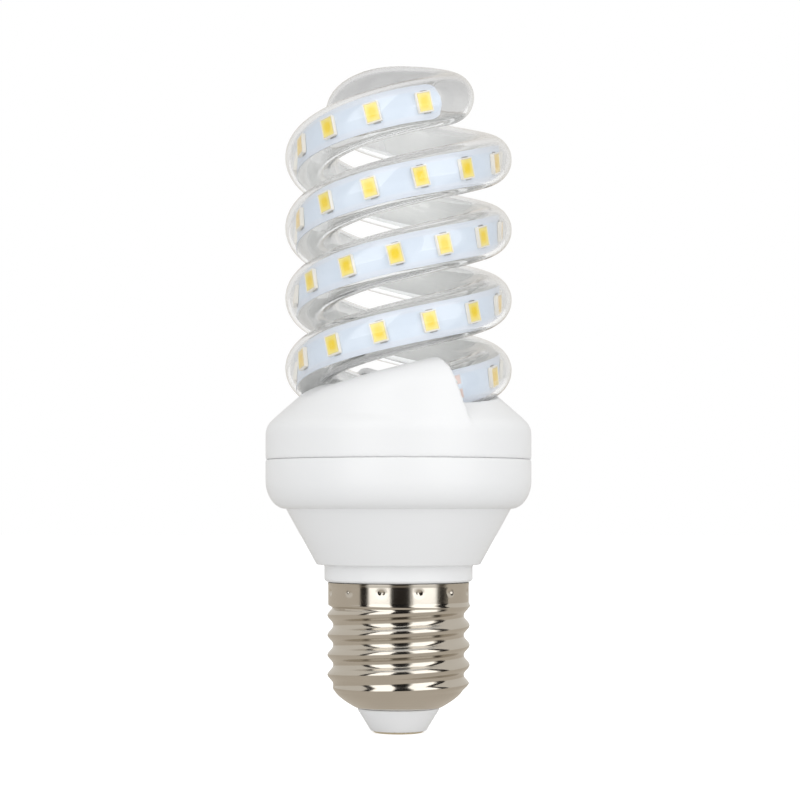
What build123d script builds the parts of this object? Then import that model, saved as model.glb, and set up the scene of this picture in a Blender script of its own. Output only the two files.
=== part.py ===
"""Spiral LED bulb with a standard E27 screw base, in millimetres, cap down and glass up.

Origin: the middle of the centre contact's underside. +Z runs up the lamp's axis, -Y faces the viewer.
A clear glass tube is wound as a double right-handed spiral: two arms climb half a turn apart and meet
in an S-shaped bridge at the top. A flexible LED strip lies in each arm and shines outwards. The tube
ends sit under two hoods of a white cover, which closes on a tapered housing with the driver inside.
"""

import os
from math import atan2, cos, degrees, pi, radians, sin

from build123d import *

# White cover and housing
body_radius = 24.35
body_wall = 1.6
seam_height = 50.0
cover_straight = 4.5  # straight side above the seam, before the dome turns in
dome_height = seam_height + 13.4
hood_start = -80.0
hood_mouth = 28.5  # degrees, where the tube comes out into the open
hood_wall = 1.3
hood_draft = 14.8  # degrees that the hood's outer flank leans out
trough_end = 100.0  # degrees, where the tube has climbed clear of the dome
tube_fit = 0.2  # gap between the glass and its seat
ledge_radius = body_radius - 3.75
ledge_height = seam_height - 9.0
bulge_height = 5.5  # of the rounded side below the seam

# Glass spiral, set into the cover
spiral_radius = body_radius - 8.1  # lamp axis to the middle of the tube
spiral_pitch = 25.7  # climb of one arm in one turn, so the two arms stand half of this apart
tube_radius = 4.5
tube_wall = 0.8
arm_height_at_side = seam_height + 16.5  # middle of the front arm's tube where it passes the right side, +X
tube_start = -32.0  # degrees round from the front where the tube ends inside the cover
arm_end = 720.0  # degrees where the arm leaves the spiral for the bridge
bridge_reach = 0.56 * spiral_radius  # how far the S swings out to each side of the axis
bridge_height = seam_height + 67.6  # middle of the tube at the very top

# LED strips
strip_width = 6.0
strip_thickness = 0.25
strip_offset = 1.9  # outwards from the middle of the tube
strip_start = 24.0
strip_end_front = 743.0
strip_end_rear = 728.0
led_length = 2.8  # along the strip
led_width = 3.5
led_height = 0.7
solder_film = 0.03
led_step = 26.9  # degrees from one LED to the next
first_led_front = 64.0
first_led_rear = 62.0
window_margin = 0.4  # white frame round the phosphor
window_depth = 0.45

# E27 screw base
shell_top = 27.6
skirt_radius = 12.9
skirt_bottom = 23.3
thread_crest = skirt_radius + 0.15
thread_root = skirt_radius - 0.9
thread_pitch = 3.629
crest_height_left = 21.5  # height of the top crest at the left side, -X
shell_sheet = 0.35
shell_turn_in = 8.6  # height where the cap starts to close in
shell_mouth = 7.2  # radius of the hole for the insulator
shell_foot = 4.6
stake_count = 12
stake_height = 26.0
insulator_radius = 7.5
insulator_foot = 5.1
insulator_base = 0.4
contact_radius = 4.75
contact_stem = 1.2
collar_radius = skirt_radius + 0.7  # of the housing, just above the shell
collar_height = shell_top + 0.4
shoulder_radius = collar_radius + 1.4
shoulder_height = collar_height + 2.8

# Driver
snap_gap = 0.1
board_radius = body_radius - body_wall - snap_gap - 0.75
board_thickness = 1.6
board_height = seam_height - 4.1
layout = board_radius / 21.9  # the driver's parts keep their places on a larger or smaller board
drop = (board_height - shoulder_height) / 15.1  # and hang into the space under it
lead_radius = 0.55
strip_lead_radius = 0.3


def arm_height(angle):
    return arm_height_at_side + spiral_pitch * (angle - 90) / 360


slope = degrees(atan2(spiral_pitch, 2 * pi * spiral_radius))


def arm_frame(angle, outwards=0.0):
    """Plane across the front arm: x points away from the lamp's axis, y up, z back down the arm."""
    a = radians(angle)
    s = radians(slope)
    r = spiral_radius + outwards
    along = Vector(cos(a) * cos(s), sin(a) * cos(s), sin(s))
    place = Vector(r * sin(a), -r * cos(a), arm_height(angle))
    return Plane(origin=place, x_dir=Vector(sin(a), -cos(a), 0), z_dir=along * -1)


def arm_path(start, end):
    coil = Edge.make_helix(spiral_pitch, spiral_pitch * (end - start) / 360, spiral_radius)
    return coil.rotate(Axis.Z, start - 90).translate((0, 0, arm_height(start)))


def bridge_path():
    """Front half of the S: round the right-hand lobe to the top of the lamp."""
    arm = arm_path(tube_start, arm_end)
    climb = bridge_height - arm_height(arm_end)
    lobe = Vector(bridge_reach, -spiral_radius / 2, arm_height(arm_end) + 0.56 * climb)
    top = Vector(0, 0, bridge_height)
    return Edge.make_spline([arm.position_at(1), lobe, top], tangents=[arm.tangent_at(1), Vector(-1, 0, 0)])


def along(path, face):
    return Solid.sweep(face, Wire([path]), is_frenet=True)


def pipe(path, radius):
    across = Plane(origin=path.position_at(0), z_dir=path.tangent_at(0))
    return along(path, Face(Wire(Edge.make_circle(radius, across))))


def other_arm(shape):
    return shape.rotate(Axis.Z, 180)


def turned(outline):
    """Solid turned round the lamp's axis from an outline in radius and height."""
    return revolve(make_face(Plane.XZ * outline), Axis.Z)


def disc(radius, bottom, height, x=0.0, y=0.0):
    return Pos(x, y, bottom + height / 2) * Cylinder(radius, height)


def save(name, shape):
    export_step(shape, f"parts/{name}.step")


# Glass tube
def whole_pipe(radius):
    arm = pipe(arm_path(tube_start, arm_end), radius)
    half_bridge = pipe(bridge_path(), radius)
    return arm.fuse(half_bridge, other_arm(arm), other_arm(half_bridge))


def side_faces(solid):
    return [f for f in solid.faces() if f.geom_type != GeomType.PLANE]


def end_faces(solid):
    ends = [f for f in solid.faces() if f.geom_type == GeomType.PLANE]
    return sorted(ends, key=lambda f: f.center().Y)


def glass_spiral():
    """One hollow tube: outer skin, inner skin and a ring of glass at each open end."""
    outer = whole_pipe(tube_radius)
    inner = whole_pipe(tube_radius - tube_wall)
    pairs = zip(end_faces(outer), end_faces(inner))
    rings = [Face(out.outer_wire(), [bore.outer_wire()]) for out, bore in pairs]
    return Solid(Shell(side_faces(outer) + side_faces(inner) + rings))


# LED strips
def strip(end):
    frame = arm_frame(strip_start)
    middle = strip_offset + strip_thickness / 2
    section = frame * (Pos(middle, 0) * Rectangle(strip_thickness, strip_width))
    return along(arm_path(strip_start, end), section.face())


def led_places(first, end):
    count = int((end - first) / led_step) + 1
    return [first + led_step * k for k in range(count)]


def led_block(angle, length, width, depth):
    """Block let in from an LED's face: length along the strip, width across it, depth inwards."""
    face = strip_offset + strip_thickness + solder_film + led_height
    frame = arm_frame(angle, face - depth / 2)
    return frame * Box(depth, width, length)


def led_packages(angles):
    packages = []
    for angle in angles:
        body = led_block(angle, led_length, led_width, led_height)
        packages.append(body - led_window(angle))
    return packages


def led_window(angle):
    return led_block(angle, led_length - 2 * window_margin, led_width - 2 * window_margin, window_depth)


# White plastic
def dome(inset):
    """Cover's outline as a full body; inset gives the space inside its wall."""
    edge = body_radius - inset
    top = dome_height - inset
    turn = seam_height + cover_straight
    side = Polyline((0, top), (0, seam_height), (edge, seam_height), (edge, turn))
    crown = Spline(
        (edge, turn),
        (edge - 1.75, turn + 3.2),
        (edge - 5.75, turn + 6.7),
        (0, top),
        tangents=[(0, 1), (-1, 0)],
    )
    return turned(side + crown)


def hood():
    """Arch that follows the tube down into the dome, upright inside and leaning out outside."""
    arch = tube_radius + tube_fit + hood_wall
    lean = radians(hood_draft)
    skirt = 13.0
    spring = (arch * cos(lean), arch * sin(lean))
    foot = (spring[0] + (skirt + spring[1]) * sin(lean) / cos(lean), -skirt)
    outline = Polyline(spring, foot, (-arch, -skirt), (-arch, 0))
    outline += ThreePointArc((-arch, 0), (0, arch), spring)
    section = arm_frame(hood_start) * make_face(outline)
    body = along(arm_path(hood_start, hood_mouth), section.face())
    limit = disc(body_radius - 0.05, seam_height, dome_height)
    return body & limit


def upper_cover():
    front_hood = hood()
    outside = dome(0) + front_hood + other_arm(front_hood)
    sleeve = pipe(arm_path(tube_start - 4, trough_end), tube_radius + tube_fit + hood_wall - 0.1)
    bore = pipe(arm_path(tube_start - 10, trough_end + 12), tube_radius + tube_fit)
    cover = outside - dome(body_wall)
    for solid in (sleeve, other_arm(sleeve)):
        cover += solid & outside
    return cover - bore - other_arm(bore)


def lower_outline(inset):
    """Housing's outside as radius and height; inset moves it inwards for the space inside."""
    lift = inset * 0.6
    ledge = (ledge_radius - inset, ledge_height + lift)
    side = Line((shoulder_radius - inset, shoulder_height + lift), ledge)
    rim = body_radius - inset
    bulge = Spline(
        ledge,
        (rim - 2.15, ledge_height + bulge_height * 0.165 + lift),
        (rim - 0.55, ledge_height + bulge_height * 0.475 + lift),
        (rim, ledge_height + bulge_height + lift),
        tangents=[(1, 0.35), (0, 1)],
    )
    return side + bulge + Line((rim, ledge_height + bulge_height + lift), (rim, seam_height))


def lower_housing():
    neck = skirt_radius - shell_sheet
    neck_foot = skirt_bottom + 0.7
    outside = lower_outline(0) + Polyline(
        (body_radius, seam_height),
        (0, seam_height),
        (0, neck_foot),
        (neck, neck_foot),
        (neck, shell_top + 0.05),
        (collar_radius - 0.5, shell_top + 0.05),
        (collar_radius, collar_height),
        (collar_radius, shoulder_height - 0.1),
        (shoulder_radius, shoulder_height),
    )
    bore = neck - body_wall
    shoulder = (shoulder_radius - body_wall, shoulder_height + body_wall * 0.6)
    inside = lower_outline(body_wall) + Polyline(
        (body_radius - body_wall, seam_height),
        (0, seam_height),
        (0, neck_foot),
        (bore, neck_foot),
        (bore, shoulder[1] - 1),
        shoulder,
    )
    shell = turned(outside) - turned(inside)
    tongue_outer = body_radius - body_wall - snap_gap
    tongue = disc(tongue_outer, seam_height - 1.5, 4) - disc(tongue_outer - 1.1, seam_height - 1.5, 4)
    root = disc(body_radius - 0.8, seam_height - 1.5, 1.5) - disc(tongue_outer - 1.1, seam_height - 1.5, 1.5)
    shell += tongue + root
    for k in range(4):
        rib_height = 3.2
        rib = Pos(board_radius - 0.6, 0, board_height - rib_height / 2) * Box(2.6, 1.6, rib_height)
        shell += Rot(0, 0, 45 + 90 * k) * rib
    return shell


# Screw base
def thread_ridge(root, crest, width):
    """Rounded ridge of the thread, wound right-handed so that its crests stand at their heights."""
    turns = (skirt_bottom - shell_turn_in) / thread_pitch + 2
    first = crest_height_left - thread_pitch * (turns - 1)
    path = Edge.make_helix(thread_pitch, thread_pitch * turns, root)
    path = path.rotate(Axis.Z, 180).translate((0, 0, first))
    half = width / 2
    shoulder = (crest - root) * 0.5
    top, foot = (shoulder, half * 0.55), (-0.25, half * 1.12)
    outline = Polyline(top, foot, (foot[0], -foot[1]), (top[0], -top[1]))
    outline += ThreePointArc((top[0], -top[1]), (crest - root, 0), top)
    start = Plane(origin=path.position_at(0), x_dir=(-1, 0, 0), z_dir=path.tangent_at(0) * -1)
    return along(path, (start * make_face(outline)).face())


def screw_shell():
    core = Polyline(
        (0, shell_top),
        (skirt_radius + 0.08, shell_top),
        (skirt_radius, shell_top - 0.5),
        (skirt_radius, skirt_bottom),
        (thread_root, skirt_bottom - 0.4),
        (thread_root, shell_turn_in),
    )
    core += Spline(
        (thread_root, shell_turn_in),
        (thread_root - 1.0, shell_turn_in - 1.2),
        (thread_root - 2.1, shell_turn_in - 2.5),
        (shell_mouth + 0.8, shell_foot),
        tangents=[(0, -1), (-1, -0.5)],
    )
    core += Polyline((shell_mouth + 0.8, shell_foot), (0, shell_foot), (0, shell_top))
    ridge = thread_ridge(thread_root, thread_crest, thread_pitch * 0.8)
    ridge &= disc(thread_crest + 1, shell_turn_in - 0.3, skirt_bottom - shell_turn_in + 0.2)
    hollow = Polyline(
        (0, shell_top),
        (skirt_radius - shell_sheet, shell_top),
        (skirt_radius - shell_sheet, skirt_bottom + 0.1),
        (thread_root - shell_sheet, skirt_bottom - 0.4),
        (thread_root - shell_sheet, shell_turn_in),
        (thread_root - 2.1 - shell_sheet, shell_turn_in - 2.3),
        (shell_mouth + 0.6, shell_foot + shell_sheet),
        (0, shell_foot + shell_sheet),
        (0, shell_top),
    )
    shell = turned(core) + ridge - turned(hollow) - disc(shell_mouth, shell_foot - 1, 3)
    for k in range(stake_count):
        angle = radians(-43.5 + 360 * k / stake_count)
        reach = skirt_radius + 0.75
        shell -= Pos(reach * sin(angle), -reach * cos(angle), stake_height) * Sphere(0.95)
    return shell


def base_insulator():
    lip = shell_foot + shell_sheet
    outline = Polyline(
        (contact_stem + 0.05, insulator_base + 1),
        (contact_radius + 0.05, insulator_base + 0.55),
        (contact_radius + 0.05, insulator_base),
        (insulator_foot, insulator_base),
        (insulator_radius, shell_foot - 0.3),
        (insulator_radius, shell_foot),
        (shell_mouth - 0.05, shell_foot),
        (shell_mouth - 0.05, lip),
        (shell_mouth + 0.4, lip),
        (shell_mouth + 0.4, lip + 1.1),
        (contact_stem + 0.05, lip + 1.1),
        (contact_stem + 0.05, insulator_base + 1),
    )
    return turned(outline)


def centre_contact():
    top = shell_foot + shell_sheet + 1.1
    outline = Polyline(
        (0, 0),
        (contact_radius - 0.35, 0),
        (contact_radius, 0.35),
        (contact_radius, insulator_base + 0.55),
        (contact_stem, insulator_base + 1),
        (contact_stem, top),
        (contact_stem + 0.7, top),
        (contact_stem + 0.7, top + 0.4),
        (0, top + 1.0),
        (0, 0),
    )
    return turned(outline)


# Driver
def driver_board():
    board = disc(board_radius, board_height, board_thickness)
    for k in range(2):
        board -= Rot(0, 0, 180 * k) * disc(2.6, board_height, board_thickness, board_radius)
    return board


def on_board(length, width, thickness, x, y):
    """Flat part soldered on the board's upper side."""
    bottom = board_height + board_thickness
    return Pos(x * layout, y * layout, bottom + thickness / 2) * Box(length, width, thickness)


def hung(radius, top, bottom, x, y):
    """Round part under the board; top and bottom are depths below it."""
    return disc(radius * layout, board_height - bottom * drop, (bottom - top) * drop, x * layout, y * layout)


def can_capacitor(radius, length, x, y):
    """Electrolytic can hanging under the board, with the roll-in near its seal."""
    can = hung(radius, 0.5, length + 0.5, x, y)
    groove = Pos(x * layout, y * layout, board_height - 2.6 * drop) * Torus(radius * layout + 0.35, 0.7)
    legs = [hung(0.3, 0, 0.5, x + side, y) for side in (-1.5, 1.5)]
    return fillet((can - groove).edges().group_by(Axis.Z)[0], 0.6) + legs


def drum(x, y):
    return hung(4.0, 0, 9.0, x, y) - (hung(4.5, 1.2, 7.8, x, y) - hung(1.8, 1.2, 7.8, x, y))


def fuse_resistor(x, y):
    return fillet(hung(1.7, 0.5, 9.5, x, y).edges(), 0.5) + hung(0.35, 0, 0.6, x, y)


def wire(points, radius, tangents=None):
    path = Edge.make_spline([Vector(*p) for p in points], tangents=tangents)
    start = Plane(origin=path @ 0, z_dir=path % 0)
    return Solid.sweep(Face(Wire(Edge.make_circle(radius, start))), Wire([path]))


def strip_leads():
    """Two thin wires from the board up through the tube's seal to the start of the strip."""
    leads = []
    for side in (-0.9, 0.9):
        route = []
        for angle, outwards in ((33, 2.6), (25, 2.6), (13, 1.4), (-8, 0.3), (-26, 0.3), (-38, 0.3)):
            frame = arm_frame(angle, outwards)
            route.append(frame.origin + frame.y_dir * side)
        end = Vector(0, 0.75 - spiral_radius, board_height + board_thickness).rotate(Axis.Z, -62 + 4 * side)
        route.append(Vector(end.X, end.Y, end.Z + 2.2))
        route.append(end)
        leads.append(wire([(p.X, p.Y, p.Z) for p in route], strip_lead_radius))
    return leads


def tube_seal(leads):
    plug = pipe(arm_path(tube_start + 0.5, tube_start + 10), tube_radius - tube_wall - 0.05)
    for lead in leads:
        plug = plug - lead
    return plug


def main():
    os.makedirs("parts", exist_ok=True)
    tube = glass_spiral()
    save("spiral_tube", tube)

    arms = {"front": (first_led_front, strip_end_front), "rear": (first_led_rear, strip_end_rear)}
    leads = strip_leads()
    seal = tube_seal(leads)
    for name, (first, end) in arms.items():
        turn = 0 if name == "front" else 180
        angles = led_places(first, end - 6)
        bodies = {
            f"led_strip_{name}": strip(end),
            f"led_packages_{name}": Compound(led_packages(angles)),
            f"led_phosphors_{name}": Compound([led_window(angle) for angle in angles]),
            f"tube_seal_{name}": seal,
            f"strip_leads_{name}": Compound(leads),
        }
        for node, body in bodies.items():
            save(node, body.rotate(Axis.Z, turn))

    save("upper_cover", upper_cover())
    save("lower_housing", lower_housing())
    save("screw_shell", screw_shell())
    save("base_insulator", base_insulator())
    save("centre_contact", centre_contact())

    save("driver_board", driver_board())
    save("bridge_rectifier", on_board(4.6, 4.0, 2.4, -7, 6))
    save("driver_chip", on_board(4.9, 3.9, 1.6, 5, 5))
    save("input_capacitor", can_capacitor(5.0, 16.0, 0, 1.5))
    save("output_capacitor", can_capacitor(3.2, 11.0, -9.5, 5))
    save("inductor_core", drum(10.0, 3.0))
    save("inductor_winding", hung(3.6, 1.2, 7.8, 10, 3) - hung(1.8, 1.2, 7.8, 10, 3))
    film_height = 8 * drop
    film = Box(10 * layout, 4 * layout, film_height)
    save("film_capacitor", Pos(0, 12.5 * layout, board_height - film_height / 2) * film)
    save("fuse_resistor", fuse_resistor(-4, -8))

    upright = [(0, 0, 1), (0, 0, 1)]
    rivet = shell_foot + shell_sheet + 2.15
    out, back = 6 * layout, -9.5 * layout
    below = board_height - 8 * drop
    live = [(0, 0, rivet), (1.5, -3, 14), (4.5, -7, 26), (out, back, below), (out, back, board_height)]
    save("live_lead", wire(live, lead_radius, upright))
    side = lead_radius + shell_sheet + 0.06 - thread_root
    end = (-9 * layout, -7 * layout, board_height)
    in_neck = lead_radius + 0.5 + shell_sheet + body_wall - skirt_radius
    neutral = [(side, 0, 14), (side, 0, 18), (in_neck, 0, 23), (in_neck + 0.4, -2, 32), end]
    save("neutral_lead", wire(neutral, lead_radius, upright))


if __name__ == "__main__":
    main()
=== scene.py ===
"""Looks of the spiral LED bulb: clear glass spiral, LED strips, white moulded body, plated screw cap."""

from math import atan2, cos, exp, hypot, pi, radians, sin, sqrt

import bmesh
import bpy
from mathutils import Matrix, Vector


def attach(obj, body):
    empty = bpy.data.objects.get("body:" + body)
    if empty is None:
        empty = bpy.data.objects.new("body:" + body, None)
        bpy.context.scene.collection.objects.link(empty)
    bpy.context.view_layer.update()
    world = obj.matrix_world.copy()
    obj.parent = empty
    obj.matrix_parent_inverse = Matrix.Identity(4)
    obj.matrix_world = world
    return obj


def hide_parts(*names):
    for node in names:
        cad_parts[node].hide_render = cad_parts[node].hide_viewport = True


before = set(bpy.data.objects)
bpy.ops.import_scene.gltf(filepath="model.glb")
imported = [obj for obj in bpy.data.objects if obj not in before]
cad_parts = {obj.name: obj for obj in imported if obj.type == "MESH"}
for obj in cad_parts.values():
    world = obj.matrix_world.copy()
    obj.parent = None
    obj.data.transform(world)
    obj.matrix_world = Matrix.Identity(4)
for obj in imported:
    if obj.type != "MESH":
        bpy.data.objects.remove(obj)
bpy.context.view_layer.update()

MM = 0.001

# Glass spiral, in metres as everything below
SPIRAL_RADIUS = 16.25 * MM
SPIRAL_PITCH = 25.7 * MM
TUBE_RADIUS = 4.5 * MM
TUBE_WALL = 0.8 * MM
ARM_HEIGHT_AT_SIDE = 66.5 * MM
TUBE_START = radians(-32)
ARM_END = radians(720)
BRIDGE_REACH = 9.1 * MM
BRIDGE_HEIGHT = 117.6 * MM
BRIDGE_CLIMB = 0.30  # rise of the bridge for each step back at its lobes
LOBE_SHARE = 0.56
QUARTER_PULL = 0.5523  # how far a curve's corner points stand out for a quarter of a circle
TURN_STEP = radians(5)
BEND_START = 1.5 * MM  # above the arms, where the bridge's calmer glass with its painted grey shade begins
BEND_RISE = 4 * MM
BEND_REACH = 6 * MM

LATE_BOUNCE = 5.5  # bounces after which light goes straight through the glass

# LED strips
STRIP_WIDTH = 5.8 * MM
STRIP_LOW = {"front": 0.0, "rear": -0.18 * MM}  # how the strips lie off the middle of their tubes
STRIP_THICKNESS = 0.25 * MM
STRIP_OFFSET = 1.9 * MM
STRIP_START = radians(24)
STRIP_END = {"front": radians(743), "rear": radians(728)}
STRIP_CORNER = 2.2 * MM
PAD_PLACE = 3.6 * MM
PAD_SIDE = 1.2 * MM
PAD_LENGTH = 1.1 * MM
PAD_WIDTH = 1.3 * MM
PAD_FADE = 0.2 * MM
TRACK_EDGE = 2.0 * MM
LED_LENGTH = 2.8 * MM
LED_WIDTH = 3.5 * MM
LED_HEIGHT = 0.7 * MM
LED_CORNER = 0.12 * MM
FRAME_ROUND = 0.06 * MM
WINDOW_DEPTH = 0.12 * MM
FILL_OVERLAP = 0.02 * MM
FILL_DISH = 0.07 * MM
FILL_THICKNESS = 0.2 * MM
SOLDER_LENGTH = 1.3 * MM
SOLDER_WIDTH = 0.24 * MM
SOLDER_HEIGHT = 0.2 * MM
SOLDER_TOE = 0.06 * MM
SOLDER_ROUND = 0.04 * MM
SOLDER_SHIFT = 0.35 * MM
LED_STEP = {"front": radians(26.75), "rear": radians(27.3)}
FIRST_LED = {"front": radians(64), "rear": radians(60.3)}
LED_COUNT = {"front": 26, "rear": 25}
WINDOW_MARGIN = 0.27 * MM

# White body
BODY_RADIUS = 24.35 * MM
SEAM_HEIGHT = 50.0 * MM
LEDGE_RADIUS = 20.6 * MM
LEDGE_HEIGHT = 41.0 * MM
SHOULDER_RADIUS = 15.0 * MM
SHOULDER_HEIGHT = 30.8 * MM
COLLAR_RADIUS = 13.6 * MM
COLLAR_HEIGHT = 28.0 * MM
BODY_WALL = 1.6 * MM
BULGE_HEIGHT = 5.2 * MM
NECK_GAP = 0.1 * MM
NECK_RISE = 0.7 * MM  # from the skirt's lower edge to the foot of the neck
SEAT_GAP = 0.05 * MM
COLLAR_EDGE = 0.5 * MM
CORNER_ROUND = 0.3 * MM
COVER_GRAIN = 0.36 * MM  # mesh size of the cover, which also rounds its edges

# Screw cap
SHELL_TOP = 27.6 * MM
SKIRT_RADIUS = 12.9 * MM
SKIRT_BOTTOM = 23.3 * MM
SKIRT_TAPER = 0.7 * MM
THREAD_CREST = 13.05 * MM
THREAD_ROOT = 12.0 * MM
THREAD_PITCH = 3.629 * MM
THREAD_FADE_TOP = 1.0 * MM
THREAD_FADE_FOOT = 1.4 * MM
CREST_SHARPNESS = 1.15
CREST_HEIGHT_LEFT = 21.5 * MM
SHELL_TURN_IN = 8.6 * MM
SHELL_MOUTH = 7.2 * MM
SHELL_FOOT = 4.6 * MM
FOOT_BULGE = 2.3 * MM
SHEET = 0.3 * MM
BEAD = 0.06 * MM  # rolled bead round the top of the skirt
PROFILE_STEP = 0.19 * MM
STAKE_COUNT = 12
STAKE_HEIGHT = 26.0 * MM
STAKE_FIRST = radians(-43.5)
STAKE_DEPTH = 0.36 * MM
STAKE_SIZE = 0.5 * MM
INSULATOR_RADIUS = 7.5 * MM
INSULATOR_FOOT = 5.1 * MM
INSULATOR_BASE = 0.4 * MM
CONTACT_RADIUS = 4.75 * MM
CONTACT_GAP = 0.05 * MM
CONTACT_TOP = 6.0 * MM
HEAD_RIM = 0.5 * MM  # how far the insulator's foot takes in the contact's head at its rim
HEAD_MIDDLE = 0.9 * MM
RIVET_RADIUS = 1.2 * MM
RIVET_HOLE = 1.3 * MM

# Studio, in metres and watts
BOX_DISTANCE = 0.50
BOX_HEIGHT = 0.36
BOX_TALL = 1.05
AIM_HEIGHT = 0.30

# Viewpoint of the photograph
CAMERA_DISTANCE = 412.8 * MM
CAMERA_HEIGHT = 41.0 * MM
CAMERA_LENS = 101.25
CAMERA_SHIFT = (0.0019, 0.136)


def share_of(value):
    """The value held between nothing and one."""
    return min(1, max(0, value))


# Places along the spiral
def arm_height(angle):
    """Height of the front arm's middle, where the angle counts round from the camera's side."""
    return ARM_HEIGHT_AT_SIDE + SPIRAL_PITCH * (angle - pi / 2) / (2 * pi)


SLOPE = atan2(SPIRAL_PITCH, 2 * pi * SPIRAL_RADIUS)


def arm_station(angle):
    """Middle of the front arm's tube and its heading there."""
    place = Vector((SPIRAL_RADIUS * sin(angle), -SPIRAL_RADIUS * cos(angle), arm_height(angle)))
    heading = Vector((cos(angle) * cos(SLOPE), sin(angle) * cos(SLOPE), sin(SLOPE)))
    return place, heading


def curve_stations(corners, count):
    """Stations along one smooth curve pulled by four corner points, its first point left out."""
    a, b, c, d = corners
    stations = []
    for k in range(1, count + 1):
        t = k / count
        s = 1 - t
        place = a * s**3 + b * 3 * s * s * t + c * 3 * s * t * t + d * t**3
        heading = (b - a) * s * s + (c - b) * 2 * s * t + (d - c) * t * t
        stations.append((place, heading.normalized()))
    return stations


def half_bridge(count=14):
    """From the end of the front arm round the right-hand lobe to the top of the lamp."""
    start, heading = arm_station(ARM_END)
    lobe_height = start.z + LOBE_SHARE * (BRIDGE_HEIGHT - start.z)
    lobe = Vector((BRIDGE_REACH, -SPIRAL_RADIUS / 2, lobe_height))
    climb = Vector((0, 1, BRIDGE_CLIMB)) * QUARTER_PULL * SPIRAL_RADIUS / 2
    top = Vector((0, 0, BRIDGE_HEIGHT))
    side = Vector((QUARTER_PULL * BRIDGE_REACH, 0, 0))
    leaving = start + heading * QUARTER_PULL * BRIDGE_REACH
    outward = curve_stations((start, leaving, lobe - climb, lobe), count)
    inward = curve_stations((lobe, lobe + climb, top + side, top), count)
    return outward + inward


def across(station, outwards=0.0):
    """Frame across the tube: x away from the lamp's axis, y up, z back down the arm."""
    place, heading = station
    x = heading.cross(Vector((0, 0, 1))).normalized()
    y = (heading * -1).cross(x)
    turn = Matrix((x, y, heading * -1)).transposed().to_4x4()
    return Matrix.Translation(place) @ turn @ Matrix.Translation((outwards, 0, 0))


def arm_stations(start, end):
    count = max(2, round((end - start) / TURN_STEP))
    return [arm_station(start + (end - start) * k / count) for k in range(count + 1)]


def strip_station(angle):
    """Station on the arm, or on the bridge where the angle passes the end of the arm."""
    if angle <= ARM_END:
        return arm_station(angle)
    path = [arm_station(ARM_END)] + half_bridge()
    gone = (angle - ARM_END) * SPIRAL_RADIUS / cos(SLOPE)
    for (a, heading_a), (b, heading_b) in zip(path, path[1:]):
        step = (b - a).length
        if gone <= step:
            return a.lerp(b, gone / step), heading_a.lerp(heading_b, gone / step).normalized()
        gone -= step
    return path[-1]


def strip_frame(angle, arm, outwards):
    """Frame on the strip's middle line, that far outwards from the middle of the tube."""
    return across(strip_station(angle), outwards) @ Matrix.Translation((0, STRIP_LOW[arm], 0))


TURN_OVER = {"front": Matrix.Identity(4), "rear": Matrix.Rotation(pi, 4, "Z")}


# Mesh making
def sweep(bm, edges, frames, tag=None):
    """Draws a closed edge loop from the first frame through the others and returns its last edges.

    The tag is a layer that takes the distance gone so far.
    """
    distance = 0.0
    for before, after in zip(frames, frames[1:]):
        grown = bmesh.ops.extrude_edge_only(bm, edges=edges)["geom"]
        verts = [g for g in grown if isinstance(g, bmesh.types.BMVert)]
        edges = [g for g in grown if isinstance(g, bmesh.types.BMEdge) and g.is_boundary]
        bmesh.ops.transform(bm, matrix=after @ before.inverted(), verts=verts)
        distance += (after.translation - before.translation).length
        if tag is not None:
            for v in verts:
                v[tag] = distance
    return edges


def ring(bm, matrix, radius, segments):
    made = bmesh.ops.create_circle(bm, cap_ends=False, segments=segments, radius=radius, matrix=matrix)
    return list({e for v in made["verts"] for e in v.link_edges})


def outline(bm, points, closed=False):
    """Edges joining points given as radius and height, drawn in the XZ plane."""
    verts = [bm.verts.new((r, 0, z)) for r, z in points]
    pairs = list(zip(verts, verts[1:]))
    if closed:
        pairs.append((verts[-1], verts[0]))
    return verts, [bm.edges.new(pair) for pair in pairs]


def turn_round(bm, points, steps, closed=True):
    """Turns an outline round the bulb's axis."""
    verts, edges = outline(bm, points, closed)
    bmesh.ops.spin(
        bm, geom=verts + edges, cent=(0, 0, 0), axis=(0, 0, 1), angle=2 * pi, steps=steps, use_merge=True
    )
    bmesh.ops.remove_doubles(bm, verts=bm.verts, dist=1e-6)


def rounded(points, radius, steps=4):
    """The outline with each inner corner replaced by a small arc of about the given radius."""
    smooth = [points[0]]
    for before, corner, after in zip(points, points[1:], points[2:]):
        a, b, c = Vector(before), Vector(corner), Vector(after)
        reach = min(radius, (a - b).length * 0.45, (c - b).length * 0.45)
        start = b + (a - b).normalized() * reach
        end = b + (c - b).normalized() * reach
        for k in range(steps + 1):
            t = k / steps
            smooth.append(tuple(start * (1 - t) ** 2 + b * 2 * t * (1 - t) + end * t * t))
    return smooth + [points[-1]]


def piece(bm, name, material, nodes=(), sharp=35):
    """A finished piece from its mesh, fixed to the bulb in place of the solids it stands for."""
    bmesh.ops.recalc_face_normals(bm, faces=bm.faces)
    mesh = bpy.data.meshes.new(name)
    bm.to_mesh(mesh)
    bm.free()
    mesh.materials.append(material)
    mesh.shade_smooth()
    mesh.set_sharp_from_angle(angle=radians(sharp))
    made = bpy.data.objects.new(name, mesh)
    bpy.context.scene.collection.objects.link(made)
    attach(made, "root")
    if nodes:
        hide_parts(*nodes)
    return made


def add_wall(made, thickness):
    """Gives an open skin its wall, inwards from its outside."""
    wall = made.modifiers.new("wall", "SOLIDIFY")
    wall.thickness = thickness
    wall.offset = -1


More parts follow.
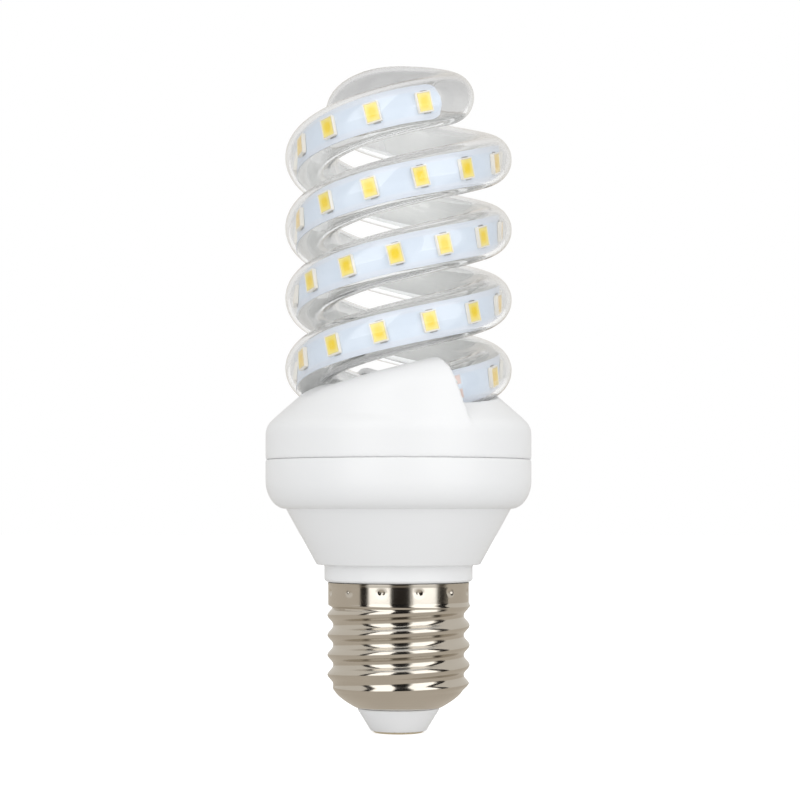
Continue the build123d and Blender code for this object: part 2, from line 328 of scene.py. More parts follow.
# Materials
def grain_group():
    """Fine and broad mottling in object space, shared by every finish."""
    group = bpy.data.node_groups.new("surface_mottle", "ShaderNodeTree")
    size = group.interface.new_socket("Grain per metre", in_out="INPUT", socket_type="NodeSocketFloat")
    size.default_value = 2500
    for name in ("Fine", "Broad"):
        group.interface.new_socket(name, in_out="OUTPUT", socket_type="NodeSocketFloat")
    nodes, links = group.nodes, group.links
    inward, outward = nodes.new("NodeGroupInput"), nodes.new("NodeGroupOutput")
    place = nodes.new("ShaderNodeTexCoord")
    shrink = nodes.new("ShaderNodeMath")
    shrink.operation = "MULTIPLY"
    shrink.inputs[1].default_value = 0.04
    links.new(inward.outputs[0], shrink.inputs[0])
    for name, scale, detail in (("Fine", inward.outputs[0], 3), ("Broad", shrink.outputs[0], 2)):
        noise = nodes.new("ShaderNodeTexNoise")
        noise.inputs["Detail"].default_value = detail
        links.new(place.outputs["Object"], noise.inputs["Vector"])
        links.new(scale, noise.inputs["Scale"])
        links.new(noise.outputs["Fac"], outward.inputs[name])
    return group


MOTTLE = grain_group()


class Finish:
    """A material with its shader and the shared mottling at hand."""

    def __init__(self, name, grain=2500):
        self.material = bpy.data.materials.new(name)
        self.material.use_nodes = True
        self.tree = self.material.node_tree
        self.shader = self.tree.nodes["Principled BSDF"]
        self.output = self.tree.nodes["Material Output"]
        self.mottle = self.add("ShaderNodeGroup")
        self.mottle.node_tree = MOTTLE
        self.mottle.inputs[0].default_value = grain

    def add(self, kind):
        return self.tree.nodes.new(kind)

    def link(self, source, target):
        self.tree.links.new(source, target)

    def set(self, **values):
        for name, value in values.items():
            self.shader.inputs[name.replace("_", " ")].default_value = value

    def blend(self, factor, low, high):
        """From the low tone to the high one as the factor grows."""
        mix = self.add("ShaderNodeMix")
        mix.data_type = "RGBA"
        for socket, value in ((mix.inputs[0], factor), (mix.inputs[6], low), (mix.inputs[7], high)):
            if isinstance(value, (tuple, list)):
                socket.default_value = (*value, 1)
            elif isinstance(value, (int, float)):
                socket.default_value = value
            else:
                self.link(value, socket)
        return mix.outputs[2]

    def span(self, value, low, high, from_low=0.0, from_high=1.0):
        """The value carried from one range to another and held inside it."""
        ramp = self.add("ShaderNodeMapRange")
        self.link(value, ramp.inputs[0])
        for index, number in enumerate((from_low, from_high, low, high), 1):
            ramp.inputs[index].default_value = number
        return ramp.outputs[0]

    def reckon(self, operation, first, second=None):
        """A sum on one or two values, each a number or another node's output."""
        node = self.add("ShaderNodeMath")
        node.operation = operation
        for socket, value in zip(node.inputs, (first, second)):
            if isinstance(value, (int, float)):
                socket.default_value = value
            elif value is not None:
                self.link(value, socket)
        return node.outputs[0]

    def shaded(self, tone, shade):
        """The tone darkened by a shade laid over it."""
        mix = self.add("ShaderNodeMix")
        mix.data_type = "RGBA"
        mix.blend_type = "MULTIPLY"
        mix.inputs[0].default_value = 1.0
        self.link(tone, mix.inputs[6])
        self.link(shade, mix.inputs[7])
        return mix.outputs[2]

    def layer(self, name):
        """What the mesh says at each place under this name."""
        node = self.add("ShaderNodeAttribute")
        node.attribute_name = name
        return node.outputs["Fac"]

    def colour(self, low, high, by="Broad"):
        self.link(self.blend(self.mottle.outputs[by], low, high), self.shader.inputs["Base Color"])

    def rough(self, low, high, by="Fine"):
        self.link(self.span(self.mottle.outputs[by], low, high, 0.3, 0.7), self.shader.inputs["Roughness"])

    def bump(self, height, distance, strength=0.5):
        bump = self.add("ShaderNodeBump")
        bump.inputs["Strength"].default_value = strength
        bump.inputs["Distance"].default_value = distance
        self.link(height, bump.inputs["Height"])
        self.link(bump.outputs[0], self.shader.inputs["Normal"])


def white_plastic():
    finish = Finish("white_moulded_plastic", 1800)
    finish.colour((0.835, 0.832, 0.83), (0.86, 0.856, 0.85))
    finish.rough(0.36, 0.46)
    finish.bump(finish.mottle.outputs["Fine"], 0.00002, 0.25)
    finish.set(IOR=1.5)
    return finish.material


def pale_plastic():
    finish = Finish("pale_insulator_plastic", 2200)
    finish.colour((0.88, 0.88, 0.885), (0.91, 0.91, 0.91))
    finish.rough(0.40, 0.52)
    finish.bump(finish.mottle.outputs["Fine"], 0.00002, 0.3)
    return finish.material


def nickel():
    finish = Finish("nickel_plating", 3000)
    finish.colour((0.58, 0.545, 0.49), (0.66, 0.625, 0.57))
    finish.rough(0.10, 0.16, by="Broad")
    finish.bump(finish.mottle.outputs["Fine"], 0.000006, 0.2)
    finish.set(Metallic=1.0)
    return finish.material


def clear_glass():
    """Tube glass with faint waves, with painted shade: its colour turns grey at grazing angles for the edges
    and greyer over the bridge's bends. Shadows, diffuse light and late bounces pass through it.
    """
    finish = Finish("clear_tube_glass", 1500)
    finish.set(Transmission_Weight=1.0)
    bend = finish.layer("bend")
    finish.link(finish.span(bend, 1.42, 1.25), finish.shader.inputs["IOR"])
    finish.link(finish.span(bend, 0.03, 0.12), finish.shader.inputs["Roughness"])
    # Painted shade: the colour greys where the tube is seen at a grazing angle, standing in for its grey
    # edges.
    edge = finish.add("ShaderNodeLayerWeight")
    edge.inputs["Blend"].default_value = 0.5
    straight = finish.blend(edge.outputs["Facing"], (0.93, 0.935, 0.93), (0.66, 0.66, 0.66))
    # Painted shade: a greyer colour over the bridge's bends, standing in for how grey the bent glass looks
    # under the studio light.
    glass_colour_with_painted_shade = finish.blend(bend, straight, (0.74, 0.74, 0.74))
    finish.link(glass_colour_with_painted_shade, finish.shader.inputs["Base Color"])
    finish.bump(finish.mottle.outputs["Broad"], 0.0002, 0.12)
    path = finish.add("ShaderNodeLightPath")
    soft = finish.reckon("MAXIMUM", path.outputs["Is Shadow Ray"], path.outputs["Is Diffuse Ray"])
    late = finish.reckon("GREATER_THAN", path.outputs["Ray Depth"], LATE_BOUNCE)
    passing = finish.add("ShaderNodeBsdfTransparent")
    passing.inputs["Color"].default_value = (1, 1, 1, 1)
    mix = finish.add("ShaderNodeMixShader")
    finish.link(finish.reckon("MAXIMUM", soft, late), mix.inputs[0])
    finish.link(finish.shader.outputs[0], mix.inputs[1])
    finish.link(passing.outputs[0], mix.inputs[2])
    finish.link(mix.outputs[0], finish.output.inputs["Surface"])
    return finish.material


def strip_mask():
    """Blue-white solder mask, with the copper tracks under it showing as a faint change of tone."""
    finish = Finish("strip_solder_mask", 2600)
    side = finish.reckon("ABSOLUTE", finish.layer("across"))
    wide = finish.span(side, 0, 1, TRACK_EDGE - 0.1 * MM, TRACK_EDGE + 0.1 * MM)
    tone = finish.blend(wide, (0.77, 0.85, 0.95), (0.80, 0.85, 0.93))
    shade = finish.blend(finish.mottle.outputs["Broad"], (0.94, 0.94, 0.96), (1.0, 1.0, 1.0))
    far = finish.reckon("ABSOLUTE", finish.reckon("SUBTRACT", finish.layer("along"), PAD_PLACE))
    off = finish.reckon("ABSOLUTE", finish.reckon("SUBTRACT", side, PAD_SIDE))
    lengthwise = finish.span(far, 1, 0, PAD_LENGTH / 2, PAD_LENGTH / 2 + PAD_FADE)
    crosswise = finish.span(off, 1, 0, PAD_WIDTH / 2, PAD_WIDTH / 2 + PAD_FADE)
    pad = finish.reckon("MINIMUM", lengthwise, crosswise)
    padded = finish.blend(pad, finish.shaded(tone, shade), (0.86, 0.66, 0.60))
    back = finish.layer("back")
    both = finish.blend(back, padded, (0.97, 0.97, 0.95))
    finish.link(both, finish.shader.inputs["Base Color"])
    finish.link(finish.span(back, 0.48, 0.26), finish.shader.inputs["Roughness"])
    finish.bump(wide, 0.00003, 0.3)
    return finish.material


def led_body():
    finish = Finish("led_white_body", 4000)
    finish.colour((0.93, 0.87, 0.76), (0.96, 0.91, 0.82))
    finish.rough(0.30, 0.42)
    return finish.material


def phosphor():
    """Yellow phosphor under clear gel, deeper yellow in the middle and paler at its rim, with a painted
    orange glare where it is seen at a grazing angle.
    """
    finish = Finish("led_phosphor", 6000)
    edge = finish.span(finish.layer("rim"), 0, 1, 0.45, 1.0)
    straight = finish.blend(edge, (1.0, 0.72, 0.02), (1.0, 0.86, 0.30))
    # Painted glare: the colour turns orange where the phosphor is seen at a grazing angle.
    weight = finish.add("ShaderNodeLayerWeight")
    painted_glare_share = finish.span(weight.outputs["Facing"], 0, 0.85, 0.45, 0.9)
    tone = finish.blend(painted_glare_share, straight, (1.0, 0.66, 0.34))
    speck = finish.blend(finish.mottle.outputs["Fine"], (0.97, 0.95, 0.86), (1.0, 1.0, 1.0))
    finish.link(finish.shaded(tone, speck), finish.shader.inputs["Base Color"])
    finish.rough(0.12, 0.25)
    return finish.material


def plain(name, low, high, rough=(0.4, 0.6), metallic=0.0, grain=3000, relief=0.00003):
    finish = Finish(name, grain)
    finish.colour(low, high)
    finish.rough(*rough)
    finish.bump(finish.mottle.outputs["Fine"], relief, 0.4)
    finish.set(Metallic=metallic)
    return finish.material


# Glass
def glass_spiral(material):
    """The tube from one arm's foot over the bridge to the other's, with the bends marked for the glass's
    calmer look and painted grey shade.
    """
    stations = arm_stations(TUBE_START, ARM_END) + half_bridge()
    frames = [across(s) for s in stations]
    turned = []
    for place, heading in reversed(stations[:-1]):
        turned.append((TURN_OVER["rear"] @ place, TURN_OVER["rear"].to_3x3() @ heading * -1))
    frames += [across(s) for s in turned]
    bm = bmesh.new()
    # The bend layer marks where the glass gets its calmer look and its painted grey shade.
    bend = bm.verts.layers.float.new("bend")
    foot = ring(bm, frames[0], TUBE_RADIUS, 56)
    sweep(bm, foot, frames)
    arm_top = arm_height(ARM_END)
    for v in bm.verts:
        v[bend] = share_of((v.co.z - arm_top - BEND_START) / BEND_RISE)
        reach = hypot(v.co.x, v.co.y)
        if v.co.z > arm_top - TUBE_RADIUS and reach < SPIRAL_RADIUS:
            v[bend] = max(v[bend], min(1, (SPIRAL_RADIUS - reach) / BEND_REACH))
    made = piece(bm, "glass_spiral", material, ["spiral_tube"], sharp=60)
    add_wall(made, TUBE_WALL)
    return made


# LED strips
def led_strip(arm, material):
    """A thin ribbon along the arm, rounded off at its far end, that knows its back and its distances."""
    end = STRIP_END[arm]
    count = round((end - STRIP_START) / TURN_STEP) * 2
    angles = [STRIP_START + (end - STRIP_START) * k / count for k in range(count + 1)]
    middle = STRIP_OFFSET + STRIP_THICKNESS / 2
    frames = []
    for angle in angles:
        left = (end - angle) * SPIRAL_RADIUS
        width = 1.0
        if left < STRIP_CORNER:
            drop = STRIP_CORNER - left
            width = 1 - (STRIP_CORNER - sqrt(max(0, STRIP_CORNER**2 - drop**2))) / (STRIP_WIDTH / 2)
        narrowed = Matrix.Diagonal((1, width, 1, 1))
        frames.append(TURN_OVER[arm] @ strip_frame(angle, arm, middle) @ narrowed)
    bm = bmesh.new()
    along = bm.verts.layers.float.new("along")
    side = bm.verts.layers.float.new("across")
    back = bm.verts.layers.float.new("back")
    made = bmesh.ops.create_grid(bm, x_segments=1, y_segments=8, size=0.5)
    for v in made["verts"]:
        v[side] = v.co.y * STRIP_WIDTH
        v[back] = 1.0 if v.co.x < 0 else 0.0
        v.co = Vector((v.co.x * STRIP_THICKNESS, v.co.y * STRIP_WIDTH, 0))
    bmesh.ops.transform(bm, matrix=frames[0], verts=bm.verts)
    loop = [e for e in bm.edges if e.is_boundary]
    last = sweep(bm, loop, frames, along)
    bmesh.ops.contextual_create(bm, geom=last)
    return piece(bm, f"strip_{arm}", material, [f"led_strip_{arm}"], sharp=50)


def led_angles(arm):
    return [FIRST_LED[arm] + LED_STEP[arm] * k for k in range(LED_COUNT[arm])]


def repeat(template, arm, outwards):
    """One mesh with the template copied to each LED's place on the arm."""
    bm = bmesh.new()
    pattern = bpy.data.meshes.new("pattern")
    template.to_mesh(pattern)
    template.free()
    for angle in led_angles(arm):
        old = len(bm.verts)
        bm.from_mesh(pattern)
        bm.verts.ensure_lookup_table()
        place = TURN_OVER[arm] @ strip_frame(angle, arm, outwards)
        bmesh.ops.transform(bm, matrix=place, verts=bm.verts[old:])
    bpy.data.meshes.remove(pattern)
    return bm


FACE_OUT = Matrix.Rotation(pi / 2, 4, "Y") @ Matrix.Rotation(pi, 4, "Z")  # +Z turns away from the axis


def soften(bm, edges, offset):
    bmesh.ops.bevel(bm, geom=edges, offset=offset, segments=2, affect="EDGES", profile=0.5, material=-1)


def led_case():
    """LED body, modelled face up with x along the strip: a bevelled block with a sunk window."""
    bm = bmesh.new()
    bmesh.ops.create_cube(bm, size=1.0, matrix=Matrix.Diagonal((LED_LENGTH, LED_WIDTH, LED_HEIGHT, 1)))
    bmesh.ops.translate(bm, vec=(0, 0, LED_HEIGHT / 2), verts=bm.verts)
    uprights = [e for e in bm.edges if abs(e.verts[0].co.z - e.verts[1].co.z) > LED_HEIGHT / 2]
    soften(bm, uprights, LED_CORNER)
    bm.faces.ensure_lookup_table()
    top = max(bm.faces, key=lambda f: f.calc_center_median().z)
    bmesh.ops.inset_region(bm, faces=[top], thickness=WINDOW_MARGIN * 0.75, depth=0)
    bmesh.ops.inset_region(bm, faces=[top], thickness=WINDOW_MARGIN * 0.25, depth=-WINDOW_DEPTH)
    high = [e for e in bm.edges if min(v.co.z for v in e.verts) > LED_HEIGHT * 0.99]
    soften(bm, [e for e in high if e.calc_face_angle(0) > 1], FRAME_ROUND)
    bmesh.ops.transform(bm, matrix=FACE_OUT, verts=bm.verts)
    return bm


def led_fill():
    """Phosphor in the window, level with the frame's inner edge and dished in the middle."""
    length = LED_LENGTH - 2 * WINDOW_MARGIN + FILL_OVERLAP
    width = LED_WIDTH - 2 * WINDOW_MARGIN + FILL_OVERLAP
    bm = bmesh.new()
    rim = bm.verts.layers.float.new("rim")
    bmesh.ops.create_grid(bm, x_segments=8, y_segments=8, size=0.5)
    for v in bm.verts:
        reach = min(1.0, 2 * max(abs(v.co.x), abs(v.co.y)))
        corner = hypot(v.co.x, v.co.y) * 2
        v[rim] = min(1.0, 0.5 * reach + 0.5 * corner)
        v.co.x *= length
        v.co.y *= width
        v.co.z = LED_HEIGHT - FILL_OVERLAP - FILL_DISH * (1 - reach**2)
    bmesh.ops.solidify(bm, geom=bm.faces[:], thickness=FILL_THICKNESS)
    bmesh.ops.transform(bm, matrix=FACE_OUT, verts=bm.verts)
    return bm


def solder_joints():
    """A small wedge of solder at each end of the LED's body."""
    bm = bmesh.new()
    block = Matrix.Diagonal((SOLDER_LENGTH, SOLDER_WIDTH, SOLDER_HEIGHT, 1))
    reach = LED_WIDTH / 2 + SOLDER_HEIGHT / 2
    for side in (-1, 1):
        verts = bmesh.ops.create_cube(bm, size=1.0, matrix=block)["verts"]
        bmesh.ops.translate(bm, vec=(-SOLDER_SHIFT, side * reach, SOLDER_HEIGHT / 2), verts=verts)
        for v in verts:
            if v.co.z > SOLDER_HEIGHT * 0.75 and abs(v.co.y) > reach:
                v.co.z = SOLDER_TOE
    soften(bm, bm.edges[:], SOLDER_ROUND)
    bmesh.ops.transform(bm, matrix=FACE_OUT, verts=bm.verts)
    return bm


# White body
def moulded_cover(material):
    """The cover's own solid, rebuilt on a fine even mesh so that its edges come out softly rounded."""
    bm = bmesh.new()
    bm.from_mesh(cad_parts["upper_cover"].data)
    bmesh.ops.remove_doubles(bm, verts=bm.verts, dist=1e-6)
    made = piece(bm, "moulded_cover", material, ["upper_cover"], sharp=180)
    remesh = made.modifiers.new("even_mesh", "REMESH")
    remesh.mode = "VOXEL"
    remesh.voxel_size = COVER_GRAIN
    remesh.use_smooth_shade = True
    smooth = made.modifiers.new("soft_edges", "SMOOTH")
    smooth.factor = 0.5
    smooth.iterations = 2
    return made


def moulded_housing(material):
    """Turned shell: neck inside the skirt, collar, cone and bulge up to the seam, then back down inside."""
    neck = SKIRT_RADIUS - SHEET - NECK_GAP
    outside = [
        (neck, SKIRT_BOTTOM + NECK_RISE),
        (neck, SHELL_TOP + SEAT_GAP),
        (COLLAR_RADIUS - COLLAR_EDGE, SHELL_TOP + SEAT_GAP),
        (COLLAR_RADIUS, COLLAR_HEIGHT),
        (COLLAR_RADIUS, SHOULDER_HEIGHT - 0.1 * MM),
        (SHOULDER_RADIUS, SHOULDER_HEIGHT),
        (LEDGE_RADIUS, LEDGE_HEIGHT),
    ]
    outside = rounded(outside, CORNER_ROUND)
    edge = BODY_RADIUS
    for share in range(1, 13):
        a = radians(90) * share / 12
        radius = LEDGE_RADIUS + (edge - LEDGE_RADIUS) * sin(a)
        outside.append((radius, LEDGE_HEIGHT + BULGE_HEIGHT * (1 - cos(a))))
    outside += [(edge, SEAM_HEIGHT - 0.45 * MM), (edge - 0.1 * MM, SEAM_HEIGHT - 0.15 * MM)]
    outside += [(edge - 0.35 * MM, SEAM_HEIGHT - 0.02 * MM), (edge - BODY_WALL, SEAM_HEIGHT)]
    inside = [
        (edge - BODY_WALL, LEDGE_HEIGHT + 5.5 * MM),
        (LEDGE_RADIUS - BODY_WALL + 1 * MM, LEDGE_HEIGHT + 1.2 * MM),
        (SHOULDER_RADIUS - BODY_WALL, SHOULDER_HEIGHT + 1 * MM),
        (neck - BODY_WALL, SHOULDER_HEIGHT),
        (neck - BODY_WALL, SKIRT_BOTTOM + NECK_RISE),
    ]
    bm = bmesh.new()
    turn_round(bm, outside + inside, 128)
    return piece(bm, "moulded_housing", material, ["lower_housing"], sharp=50)


# Screw cap
def thread_rise(angle, height):
    """How far the rolled thread stands out of its root at this place. Crests are narrower than roots."""
    phase = (height - CREST_HEIGHT_LEFT) / THREAD_PITCH - (angle - 3 * pi / 2) / (2 * pi)
    wave = 0.5 + 0.5 * cos(2 * pi * phase)
    ends = share_of((SKIRT_BOTTOM + 0.5 * MM - height) / THREAD_FADE_TOP)
    ends *= share_of((height - SHELL_TURN_IN + 0.9 * MM) / THREAD_FADE_FOOT)
    return (THREAD_CREST - THREAD_ROOT) * wave**CREST_SHARPNESS * ends


def stake_dent(angle, height):
    """Depth of the nearest stake dimple at this place on the skirt."""
    pitch = 2 * pi / STAKE_COUNT
    turn = (angle - STAKE_FIRST + pitch / 2) % pitch - pitch / 2
    away = hypot(turn * SKIRT_RADIUS, height - STAKE_HEIGHT) / STAKE_SIZE
    return STAKE_DEPTH * exp(-(away**2) * 1.5)


def plated_shell(material):
    """The cap drawn from sheet: plain skirt, rolled thread, rounded foot turned in over the insulator."""
    points = [(SKIRT_RADIUS - 2 * BEAD, SHELL_TOP), (SKIRT_RADIUS + BEAD, SHELL_TOP - 0.1 * MM)]
    points.append((SKIRT_RADIUS + BEAD, SHELL_TOP - 0.35 * MM))
    height = SHELL_TOP - 0.55 * MM
    while height > SHELL_TURN_IN:
        lean = share_of((SKIRT_BOTTOM + 0.2 * MM - height) / SKIRT_TAPER)
        ease = lean * lean * (3 - 2 * lean)
        points.append((SKIRT_RADIUS - (SKIRT_RADIUS - THREAD_ROOT) * ease, height))
        height -= PROFILE_STEP
    start = Vector((THREAD_ROOT, height))
    foot = Vector((SHELL_MOUTH + 0.8 * MM, SHELL_FOOT + 0.1 * MM))
    bend = Vector((THREAD_ROOT - 0.05 * MM, SHELL_FOOT + FOOT_BULGE))
    for k in range(19):
        t = k / 18
        points.append(tuple(start * (1 - t) ** 2 + bend * 2 * t * (1 - t) + foot * t * t))
    points += [(SHELL_MOUTH + 0.5 * MM, SHELL_FOOT + 0.02 * MM), (SHELL_MOUTH + 0.1 * MM, SHELL_FOOT)]
    bm = bmesh.new()
    turn_round(bm, points, 288, closed=False)
    for v in bm.verts:
        angle = atan2(v.co.x, -v.co.y)
        radius = hypot(v.co.x, v.co.y)
        rise = thread_rise(angle, v.co.z)
        if v.co.z > SKIRT_BOTTOM:
            rise = min(rise, max(0, THREAD_CREST - radius))
            rise -= stake_dent(angle, v.co.z)
        scale = (radius + rise) / radius
        v.co.x *= scale
        v.co.y *= scale
    made = piece(bm, "plated_shell", material, ["screw_shell"], sharp=60)
    add_wall(made, SHEET)
    return made


def insulator(material):
    """The pale foot between shell and contact, with a lip that stands up inside the shell's mouth."""
    lip = SHELL_FOOT + SHEET + SEAT_GAP
    points = [
        (CONTACT_RADIUS + CONTACT_GAP, INSULATOR_BASE + HEAD_RIM),
        (CONTACT_RADIUS + CONTACT_GAP, INSULATOR_BASE),
        (INSULATOR_FOOT, INSULATOR_BASE),
        (INSULATOR_RADIUS, SHELL_FOOT - 0.35 * MM),
        (INSULATOR_RADIUS, SHELL_FOOT - SEAT_GAP),
        (SHELL_MOUTH - SEAT_GAP, SHELL_FOOT - SEAT_GAP),
        (SHELL_MOUTH - SEAT_GAP, lip + 1.0 * MM),
        (RIVET_HOLE, lip + 1.0 * MM),
        (RIVET_HOLE, INSULATOR_BASE + HEAD_MIDDLE),
        (CONTACT_RADIUS + CONTACT_GAP, INSULATOR_BASE + HEAD_RIM),
    ]
    bm = bmesh.new()
    turn_round(bm, rounded(points, 0.25 * MM)[:-1], 96)
    return piece(bm, "foot_insulator", material, ["base_insulator"], sharp=50)


def contact(material):
    """Rivet with a broad flat head at the very foot and a shank up through the insulator."""
    points = [
        (0, 0),
        (CONTACT_RADIUS - 0.35 * MM, 0),
        (CONTACT_RADIUS, 0.3 * MM),
        (CONTACT_RADIUS, INSULATOR_BASE + HEAD_RIM),
        (RIVET_RADIUS, INSULATOR_BASE + HEAD_MIDDLE),
        (RIVET_RADIUS, CONTACT_TOP),
        (0, CONTACT_TOP),
    ]
    bm = bmesh.new()
    turn_round(bm, rounded(points, 0.3 * MM), 64, closed=False)
    return piece(bm, "rivet_contact", material, ["centre_contact"], sharp=50)


# Studio
def aim(thing, place, target):
    thing.location = place
    thing.rotation_euler = (Vector(target) - Vector(place)).to_track_quat("-Z", "Y").to_euler()


def round_the_bulb(azimuth, distance):
    """A place as high as the softboxes, with the azimuth in degrees counted round from the camera's side."""
    a = radians(azimuth)
    return distance * sin(a), -distance * cos(a), BOX_HEIGHT


def softbox(name, azimuth, width, power):
    """A tall soft lamp that shines on the bulb."""
    data = bpy.data.lights.new(name, "AREA")
    data.shape = "RECTANGLE"
    data.size = width
    data.size_y = BOX_TALL
    data.energy = power
    lamp = bpy.data.objects.new(name, data)
    bpy.context.scene.collection.objects.link(lamp)
    aim(lamp, round_the_bulb(azimuth, BOX_DISTANCE), (0, 0, AIM_HEIGHT))


def flat_sheet(name, size, finish):
    """A flat square that belongs to the studio."""
    bm = bmesh.new()
    bmesh.ops.create_grid(bm, x_segments=1, y_segments=1, size=size)
    mesh = bpy.data.meshes.new(name)
    bm.to_mesh(mesh)
    bm.free()
    mesh.materials.append(finish.material)
    made = bpy.data.objects.new(name, mesh)
    bpy.context.scene.collection.objects.link(made)
    return made


def dark_card(name, azimuth, width, distance=BOX_DISTANCE, tone=0.02):
    """A dark flag that only shiny surfaces see, for the dark bands in the plating."""
    finish = Finish(name)
    finish.set(Base_Color=(tone, tone * 0.9, tone * 0.85, 1), Roughness=1.0, Specular_IOR_Level=0.0)
    card = flat_sheet(name, 0.5, finish)
    aim(card, round_the_bulb(azimuth, distance), (0, 0, BOX_HEIGHT))
    card.scale = (width, BOX_TALL, 1)
    card.visible_camera = False
    card.visible_diffuse = False
    card.visible_shadow = False
    card.visible_transmission = False


EYES = ("Is Camera Ray", "Is Transmission Ray")
MIRRORS = ("Is Glossy Ray",)


def seen_by(tree, rays, lit, shown):
    """What these kinds of ray see, in place of what lights the object."""
    path = tree.nodes.new("ShaderNodeLightPath")
    share = path.outputs[rays[0]]
    for name in rays[1:]:
        either = tree.nodes.new("ShaderNodeMath")
        either.operation = "MAXIMUM"
        tree.links.new(share, either.inputs[0])
        tree.links.new(path.outputs[name], either.inputs[1])
        share = either.outputs[0]
    mix = tree.nodes.new("ShaderNodeMixShader")
    tree.links.new(share, mix.inputs[0])
    tree.links.new(lit, mix.inputs[1])
    tree.links.new(shown, mix.inputs[2])
    return mix.outputs[0]


def banded_tone(finish, tone):
    """Tone of the floor as the plating mirrors it, with soft sectors for the lamps and flags round it."""
    place = finish.add("ShaderNodeTexCoord")
    parts = finish.add("ShaderNodeSeparateXYZ")
    finish.link(place.outputs["Object"], parts.inputs[0])
    forwards = finish.reckon("MULTIPLY", parts.outputs[1], -1.0)
    turn = finish.reckon("ARCTAN2", parts.outputs[0], forwards)
    share = finish.span(turn, 0, 1, -pi / 2, pi / 2)
    ramp = finish.add("ShaderNodeValToRGB")
    finish.link(share, ramp.inputs[0])
    white, dark = (1.0, 0.98, 0.94), (0.05, 0.04, 0.03)
    stops = ((-90, tone), (-66, tone), (-60, dark), (-54, dark), (-46, white), (-15, white), (-9, dark))
    stops += ((15, dark), (24, white), (60, white), (68, dark), (76, dark), (84, tone))
    elements = ramp.color_ramp.elements
    while len(elements) < len(stops):
        elements.new(0.5)
    for element, (angle, colour) in zip(elements, stops):
        element.position = (angle + 90) / 180
        element.color = (*colour, 1)
    length = finish.add("ShaderNodeVectorMath")
    length.operation = "LENGTH"
    finish.link(place.outputs["Object"], length.inputs[0])
    away = finish.span(length.outputs["Value"], 0, 1, 0.04, 0.12)
    return finish.blend(away, tone, ramp.outputs[0])


def surroundings():
    """White all round, dimmer and warmer where the plating mirrors it."""
    world = bpy.data.worlds.new("studio")
    bpy.context.scene.world = world
    world.use_nodes = True
    tree = world.node_tree
    fill = tree.nodes["Background"]
    fill.inputs["Color"].default_value = (0.96, 0.98, 1.0, 1)
    fill.inputs["Strength"].default_value = 0.72
    dim = tree.nodes.new("ShaderNodeBackground")
    dim.inputs["Color"].default_value = (0.74, 0.71, 0.66, 1)
    white = tree.nodes.new("ShaderNodeBackground")
    white.inputs["Color"].default_value = (1, 1, 1, 1)
    mirrored = seen_by(tree, MIRRORS, fill.outputs[0], dim.outputs[0])
    shown = seen_by(tree, EYES, mirrored, white.outputs[0])
    tree.links.new(shown, tree.nodes["World Output"].inputs["Surface"])


def white_floor():
    """The sheet under the bulb, which keeps the shadow and is lifted to white for the camera."""
    finish = Finish("white_floor", 300)
    finish.colour((0.86, 0.86, 0.86), (0.87, 0.87, 0.87))
    finish.set(Roughness=0.9, Specular_IOR_Level=0.0)
    lift = finish.add("ShaderNodeEmission")
    lift.inputs["Strength"].default_value = 0.62
    both = finish.add("ShaderNodeAddShader")
    finish.link(finish.shader.outputs[0], both.inputs[0])
    finish.link(lift.outputs[0], both.inputs[1])
    dim = finish.add("ShaderNodeEmission")
    finish.link(banded_tone(finish, (0.60, 0.55, 0.48)), dim.inputs["Color"])
    mirrored = seen_by(finish.tree, MIRRORS, finish.shader.outputs[0], dim.outputs[0])
    shown = seen_by(finish.tree, EYES, mirrored, both.outputs[0])
    finish.link(shown, finish.output.inputs["Surface"])
    flat_sheet("floor", 3.0, finish)


def studio():
    bpy.context.scene.view_settings.view_transform = "Standard"
    surroundings()
    white_floor()
    softbox("left_softbox", azimuth=-31, width=0.34, power=1.3)
    softbox("right_softbox", azimuth=44, width=0.40, power=1.5)
    dark_card("camera_side_card", azimuth=3, width=0.25, distance=0.46)
    dark_card("left_card", azimuth=-58, width=0.11)
    dark_card("right_card", azimuth=79, width=0.15)


def viewpoint():
    data = bpy.data.cameras.new("photograph")
    data.lens = CAMERA_LENS
    data.sensor_width = 36
    data.shift_x, data.shift_y = CAMERA_SHIFT
    data.clip_start = 0.01
    camera = bpy.data.objects.new("photograph", data)
    camera.location = (0, -CAMERA_DISTANCE, CAMERA_HEIGHT)
    camera.rotation_euler = (pi / 2, 0, 0)
    bpy.context.scene.collection.objects.link(camera)
    bpy.context.scene.camera = camera


def dress_node(node, material):
    """Gives a solid that keeps its own mesh its finish."""
    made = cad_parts[node]
    made.data.materials.clear()
    made.data.materials.append(material)


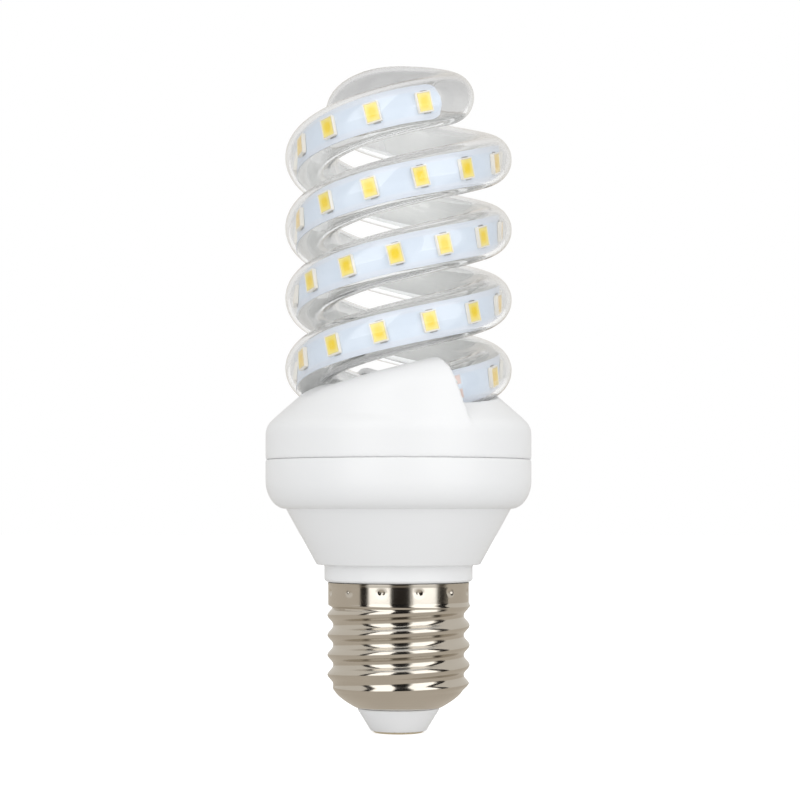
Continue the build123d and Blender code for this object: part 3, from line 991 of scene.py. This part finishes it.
def main():
    glass_spiral(clear_glass())
    mask, body, fill = strip_mask(), led_body(), phosphor()
    solder = plain("solder", (0.34, 0.33, 0.33), (0.52, 0.51, 0.50), (0.45, 0.6), metallic=1.0)
    face = STRIP_OFFSET + STRIP_THICKNESS
    for arm in ("front", "rear"):
        led_strip(arm, mask)
        cases = repeat(led_case(), arm, face)
        piece(cases, f"led_cases_{arm}", body, [f"led_packages_{arm}"])
        windows = repeat(led_fill(), arm, face)
        piece(windows, f"led_windows_{arm}", fill, [f"led_phosphors_{arm}"])
        joints = repeat(solder_joints(), arm, face)
        piece(joints, f"led_solder_{arm}", solder)

    plastic = white_plastic()
    moulded_cover(plastic)
    moulded_housing(plastic)
    plated_shell(nickel())
    insulator(pale_plastic())
    contact(plain("tinned_brass", (0.62, 0.56, 0.42), (0.72, 0.66, 0.52), (0.2, 0.35), metallic=1.0))

    silicone = plain("silicone", (0.80, 0.80, 0.78), (0.86, 0.86, 0.84), (0.3, 0.45))
    insulation = plain("lead_insulation", (0.78, 0.78, 0.76), (0.85, 0.85, 0.83), (0.35, 0.5))
    black = plain("black_epoxy", (0.02, 0.02, 0.02), (0.04, 0.04, 0.04), (0.5, 0.65))
    sleeve = plain("can_sleeve", (0.03, 0.035, 0.06), (0.05, 0.055, 0.08), (0.3, 0.4))
    copper = plain("enamelled_copper", (0.60, 0.26, 0.10), (0.72, 0.36, 0.16), (0.25, 0.4), metallic=1.0)
    finishes = {
        "tube_seal_front": silicone,
        "tube_seal_rear": silicone,
        "strip_leads_front": insulation,
        "strip_leads_rear": insulation,
        "live_lead": insulation,
        "neutral_lead": insulation,
        "bridge_rectifier": black,
        "driver_chip": black,
        "input_capacitor": sleeve,
        "output_capacitor": sleeve,
        "driver_board": plain("laminate_board", (0.56, 0.46, 0.26), (0.64, 0.54, 0.33)),
        "inductor_core": plain("ferrite", (0.03, 0.03, 0.03), (0.06, 0.06, 0.06)),
        "inductor_winding": copper,
        "film_capacitor": plain("film_case", (0.55, 0.28, 0.06), (0.65, 0.36, 0.10)),
        "fuse_resistor": plain("resistor_coat", (0.24, 0.40, 0.30), (0.30, 0.48, 0.36)),
    }
    for node, finish in finishes.items():
        dress_node(node, finish)
    studio()
    viewpoint()


main()
